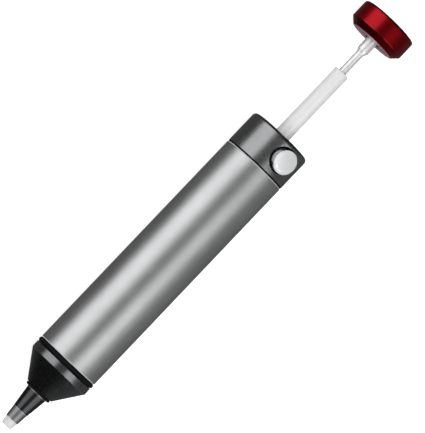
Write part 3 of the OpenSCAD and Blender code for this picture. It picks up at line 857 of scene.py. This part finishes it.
class PUMP_OT_knob(PumpPiece, bpy.types.Operator):
    """Red knob with its wide underside chamfer and recess, and its countersunk screw"""
    bl_idname = "pump.knob"
    bl_label = "Knob"

    def execute(self, context):
        p = context.scene.pump_plunger
        x0, x1 = first("knob"), last("knob")
        head_r, head_x, tip_x = radius("knob_screw"), last("knob_screw"), first("knob_screw")
        thread, head_depth, point = 1.5 * MM, 1.5 * MM, 0.3 * MM
        sink_r, sink_depth = head_r + 0.1 * MM, 1.6 * MM
        hole, socket_x = thread + 0.1 * MM, x0 + 3.4 * MM
        collar, recess_x = p.collar + FIT, x0 + p.knob_depth
        knob = turned("knob", [
            (x0, p.knob_recess), (x0, p.knob - p.knob_chamfer), (x0 + p.knob_chamfer, p.knob),
            *arc(p.knob - p.knob_round, x1 - p.knob_round, p.knob_round, 0, 90),
            (x1, sink_r), (head_x, sink_r), (head_x - sink_depth, hole), (socket_x, hole),
            (socket_x, collar), (recess_x, collar), (recess_x, p.knob_recess)], FINE_SIDES)

        def on_underside(centre, normal):
            return normal.x < -0.99 and centre.x < x0 + TOUCH

        # Painted shade: faces in the recess round the collar get the near-black recess finish,
        # standing in for the shade there.
        def in_recess(centre, normal):
            return (off_axis(centre) < p.knob_recess + TOUCH and
                    x0 + TOUCH < centre.x < recess_x + TOUCH)

        # The bevelled edges get the lighter edge finish: partly wear, partly painted highlight.
        complete(knob, "plunger", "knob_red", "knob_anodised", "knob_edge", "knob_face",
                 "recess_dark", bevel=0.10 * MM, edge=1,
                 zones=[(2, on_underside), (3, in_recess)])

        screw = turned("knob_screw", [
            (tip_x, 2 * HUB), (tip_x, thread - point), (tip_x + point, thread),
            (head_x - head_depth, thread), (head_x, head_r), (head_x, 2 * HUB)],
            SMALL_SIDES, closed=False)
        slot_depth, slot_length, slot_width = 0.7 * MM, 9 * MM, 0.8 * MM
        clear_selection()
        bpy.ops.mesh.primitive_cube_add(size=1, location=(head_x, 0, AXIS_Z),
                                        scale=(2 * slot_depth, slot_length, slot_width))
        cut(screw, named(bpy.context.object, "tool"))
        complete(screw, "plunger", "steel_bright", "steel_ground", bevel=0.06 * MM, angle=30)
        return {"FINISHED"}


# ---------------------------------------------------------------- stage

def facing(back, roll=0.0):
    """The turn of a lamp or a camera whose back faces a direction, with its width along X
    before a roll."""
    side = (Vector((1, 0, 0)) - back * back.x).normalized()
    up = back.cross(side)
    right = math.cos(roll) * side - math.sin(roll) * up
    top = math.sin(roll) * side + math.cos(roll) * up
    return Matrix((right, top, back)).transposed().to_quaternion()


def soft_light(name, place, target, size, power, seen=True):
    """An area light as a softbox that faces its target. An unseen one shows in no gloss."""
    clear_selection()
    bpy.ops.object.light_add(type="AREA", location=place)
    lamp = bpy.context.object
    lamp.name = lamp.data.name = name
    lamp.data.shape = "RECTANGLE"
    lamp.data.size, lamp.data.size_y = size
    lamp.data.energy = power
    lamp.rotation_mode = "QUATERNION"
    lamp.rotation_quaternion = facing((Vector(place) - Vector(target)).normalized())
    lamp.visible_glossy = seen


def make_floor(context):
    """A plain pale floor that glows a little and shows in no gloss."""
    clear_selection()
    bpy.ops.mesh.primitive_plane_add(size=40, location=(0, 0, 0))
    floor = context.object
    floor.name = floor.data.name = "floor"
    f = Finish("floor_pale")
    colour = context.scene.pump_colours.floor
    drift = f.noise(scale=3, detail=3, rough=0.5)
    f.put(f.shader["Base Color"], f.toned(f.spread(drift, 0, 1), colour, swing=0.01))
    f.put(f.shader["Roughness"], 0.9)
    f.put(f.shader["Specular IOR Level"], 0.1)
    f.put(f.shader["Emission Color"], (1, 1, 1, 1))
    f.put(f.shader["Emission Strength"], context.scene.pump_stage.floor_glow)
    floor.data.materials.append(f.material)
    floor.visible_glossy = False


def make_room(context):
    """A dim room, darker beyond both ends of the pump, and darkest beyond the nozzle on +Y."""
    world = bpy.data.worlds.new("studio")
    world.use_nodes = True
    room = Nodes(world.node_tree)
    way = room.node("ShaderNodeTexCoord").outputs["Generated"]
    slant = room.node("ShaderNodeVectorMath", {0: way, 1: (1, -0.35, 0)},
                      operation="DOT_PRODUCT")
    front = room.spread(slant.outputs["Value"], 0.008, 0.11, from_low=-0.95, from_high=-0.15)
    along = room.node("ShaderNodeSeparateXYZ", {0: way})
    rear = room.spread(along.outputs["X"], 1, 0.15, from_low=0.35, from_high=0.85)
    both = room.node("ShaderNodeMath", {0: front, 1: rear}, operation="MULTIPLY")
    background = room.tree.nodes["Background"].inputs
    room.put(background["Color"], (1, 1, 1, 1))
    room.put(background["Strength"], both.outputs[0])
    context.scene.world = world


# Softboxes at one distance from the pump's axis: degrees round it from straight up towards
# +Y, station, size and watts
SOFTBOX_DISTANCE = 0.9
SOFTBOXES = {
    "key": (78, 0.0, (1.6, 0.95), 6.0),
    "low_front": (-42, -0.6, (0.8, 0.3), 1.2),
    "top_front": (-11, -0.475, (0.85, 0.6), 2.4),
    "top_rear": (-9, 0.04, (0.18, 0.6), 0.34),
    "low": (-85, 0.0, (1.6, 0.4), 0.1),
}


def make_lights():
    """The softboxes, and a large fill light overhead that only shows in what is matt."""
    for name, (angle, x, size, power) in SOFTBOXES.items():
        a = math.radians(angle)
        place = (x, SOFTBOX_DISTANCE * math.sin(a), AXIS_Z + SOFTBOX_DISTANCE * math.cos(a))
        soft_light(name, place, (x, 0, AXIS_Z), size, power)
    soft_light("fill", (0, 0, 3.0), (0, 0, 0), (4, 4), 120, seen=False)


def make_camera(context):
    """The camera, square to one station of the axis and aimed at another."""
    s = context.scene.pump_stage
    clear_selection()
    foot = Vector((s.foot, 0, AXIS_Z))
    seat = foot + s.distance * Vector((0, math.sin(s.tilt), math.cos(s.tilt)))
    aim = (Vector((s.aim_along, 0, AXIS_Z)) +
           s.aim_across * Vector((0, math.cos(s.tilt), -math.sin(s.tilt))))
    bpy.ops.object.camera_add(location=seat)
    camera = context.object
    camera.rotation_mode = "QUATERNION"
    camera.rotation_quaternion = facing((seat - aim).normalized(), s.roll)
    camera.data.sensor_width = 36
    camera.data.lens = s.lens
    camera.data.clip_start, camera.data.clip_end = 0.05, 60
    context.scene.camera = camera
    context.scene.view_settings.view_transform = "Standard"


class PUMP_OT_stage(PumpPiece, bpy.types.Operator):
    """Pale floor, dim room, studio softboxes and the camera"""
    bl_idname = "pump.stage"
    bl_label = "Stage"

    def execute(self, context):
        make_floor(context)
        make_room(context)
        make_lights()
        make_camera(context)
        return {"FINISHED"}


class PUMP_PT_panel(bpy.types.Panel):
    """Lists the pump's operators and settings"""
    bl_idname = "PUMP_PT_panel"
    bl_label = "Desoldering pump"
    bl_space_type = "VIEW_3D"
    bl_region_type = "UI"
    bl_category = "Pump"

    def draw(self, context):
        for operator in OPERATORS:
            self.layout.operator(operator.bl_idname, text=operator.bl_label)
        for name, group in SETTINGS.items():
            box = self.layout.box()
            box.label(text=group.__doc__)
            for key in group.__annotations__:
                box.prop(getattr(context.scene, name), key)


OPERATORS = (PUMP_OT_nozzle, PUMP_OT_nose, PUMP_OT_barrel, PUMP_OT_end_cap, PUMP_OT_button,
             PUMP_OT_plunger, PUMP_OT_piston, PUMP_OT_knob, PUMP_OT_stage)
CLASSES = (*SETTINGS.values(), *OPERATORS, PUMP_PT_panel)


def register():
    """Adds the classes, and the settings to the scene."""
    for made in CLASSES:
        bpy.utils.register_class(made)
    for name, group in SETTINGS.items():
        setattr(bpy.types.Scene, name, bpy.props.PointerProperty(type=group))


def unregister():
    """Takes the settings and the classes away again."""
    for name in SETTINGS:
        delattr(bpy.types.Scene, name)
    for made in reversed(CLASSES):
        bpy.utils.unregister_class(made)


def main():
    register()
    for operator in OPERATORS:
        group, name = operator.bl_idname.split(".")
        getattr(getattr(bpy.ops, group), name)()
    clear_selection()


if __name__ == "__main__":
    main()
